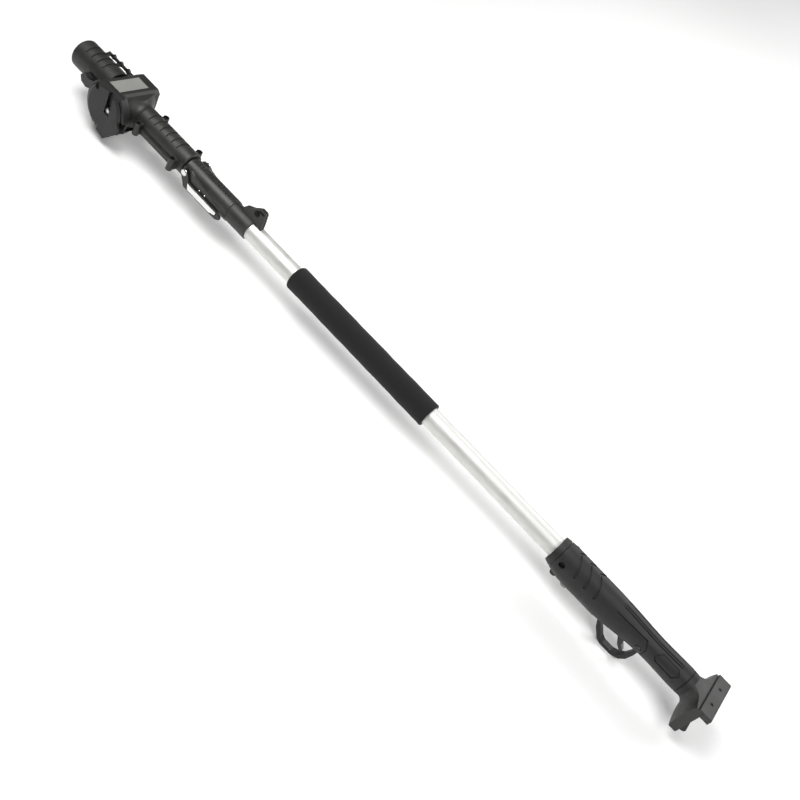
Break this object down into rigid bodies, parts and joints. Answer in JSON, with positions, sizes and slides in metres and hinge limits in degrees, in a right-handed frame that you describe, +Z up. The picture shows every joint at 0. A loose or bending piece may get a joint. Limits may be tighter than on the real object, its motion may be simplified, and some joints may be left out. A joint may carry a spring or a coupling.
{
  "type": "telescoping pole saw",
  "caption": "Long pole with a flip-lock telescoping head, gearbox and round sprocket cover, foam sleeve, trigger handle and slide-on battery foot; bar, chain and battery removed.",
  "frame": {"origin": "centre of the collapsed tool's footprint, at the height of the trigger guard's lowest point", "axes": "+X along the pole from the saw head to the battery foot, +Z up with the trigger guard pointing down, -Y the sprocket cover side"},
  "size_m": [1.324, 0.086, 0.1045],
  "materials": {
    "head_plastic": "moulded, fine texture",
    "panel_plastic": "satin inset panel",
    "clamp_plastic": "moulded nylon",
    "handle_plastic": "moulded, satin",
    "white_plastic": "moulded acetal",
    "black_rubber": "smooth",
    "pale_plastic": "moulded",
    "aluminium_tube": "satin anodised",
    "foam": "closed cell foam",
    "bright_steel": "zinc plated",
    "black_steel": "black oxide",
    "steel": "ground",
    "copper": "bare copper",
    "board": "solder mask",
    "lead": "PVC sheath"
  },
  "bodies": {
    "pole": {"battery_foot": "clamp_plastic", "battery_rails": "handle_plastic", "battery_stop": "black_rubber", "belly_strip": "pale_plastic", "bolt_nut": "black_steel", "clamp_body": "clamp_plastic", "clamp_bush": "white_plastic", "clamp_pins": "bright_steel", "clamp_rivets": "bright_steel", "coiled_lead": "lead", "collar_nut": "black_steel", "collar_ring": "clamp_plastic", "collar_screw": "black_steel", "control_board": "board", "foam_grip": "foam", "foot_screws": "black_steel", "foot_top_plate": "clamp_plastic", "handle_left": "handle_plastic", "handle_right": "handle_plastic", "outer_tube": "aluminium_tube", "power_switch": "handle_plastic", "terminal_blades": "copper", "terminal_block": "handle_plastic", "trigger_pin": "steel", "trigger_spring": "steel", "tube_bolt": "black_steel"},
    "head": {"motor_end_cap": "head_plastic", "motor_housing": "head_plastic", "motor_can": "steel", "stator_magnets": "steel", "motor_bearings": "steel", "output_bearings": "steel", "gearbox_case": "head_plastic", "top_panel": "panel_plastic", "bar_plate": "steel", "bar_stud": "bright_steel", "cover_nut": "bright_steel", "sprocket_cover": "head_plastic", "cover_screw": "black_steel", "toothed_rail": "head_plastic", "limb_hook": "head_plastic", "neck_upper_shell": "head_plastic", "neck_lower_shell": "head_plastic", "neck_screws": "black_steel", "inner_tube": "aluminium_tube", "guide_bush": "white_plastic"},
    "rotor": {"rotor_core": "steel", "motor_shaft": "steel", "commutator": "copper", "cooling_fan": "handle_plastic", "drive_pinion": "steel"},
    "output": {"crown_gear": "steel", "output_shaft": "steel", "chain_sprocket": "steel", "sprocket_clip": "steel"},
    "lever": {"lock_lever": "clamp_plastic", "lever_strips": "aluminium_tube"},
    "trigger": {"trigger": "handle_plastic"},
    "lock_off": {"lock_off_button": "handle_plastic"}
  },
  "joints": [
    {"name": "head_slide", "type": "slide", "parent": "pole", "child": "head", "axis": [-1, 0, 0], "range_m": [0, 0.5]},
    {"name": "rotor_spin", "type": "hinge", "parent": "head", "child": "rotor", "pos_m": [-0.62, 0.003, 0.0655], "axis": [1, 0, 0], "continuous": true},
    {"name": "output_spin", "type": "hinge", "parent": "head", "child": "output", "pos_m": [-0.5555, 0.003, 0.0655], "axis": [0, 1, 0], "continuous": true},
    {"name": "lever_flip", "type": "hinge", "parent": "pole", "child": "lever", "pos_m": [-0.39, 0.003, 0.065], "axis": [0, 1, 0], "range_deg": [0, 65]},
    {"name": "trigger_pull", "type": "hinge", "parent": "pole", "child": "trigger", "pos_m": [0.51, 0.003, 0.051], "axis": [0, -1, 0], "range_deg": [0, 9], "stiffness_Nm_per_rad": 0.5, "springref_deg": -17.19},
    {"name": "lock_off_push", "type": "slide", "parent": "pole", "child": "lock_off", "axis": [0, 1, 0], "range_m": [0, 0.003], "stiffness_N_per_m": 400, "springref_m": -0.003}
  ],
  "couplings": [
    {"joint": "output_spin", "follows": "rotor_spin", "ratio": -0.4}
  ]
}
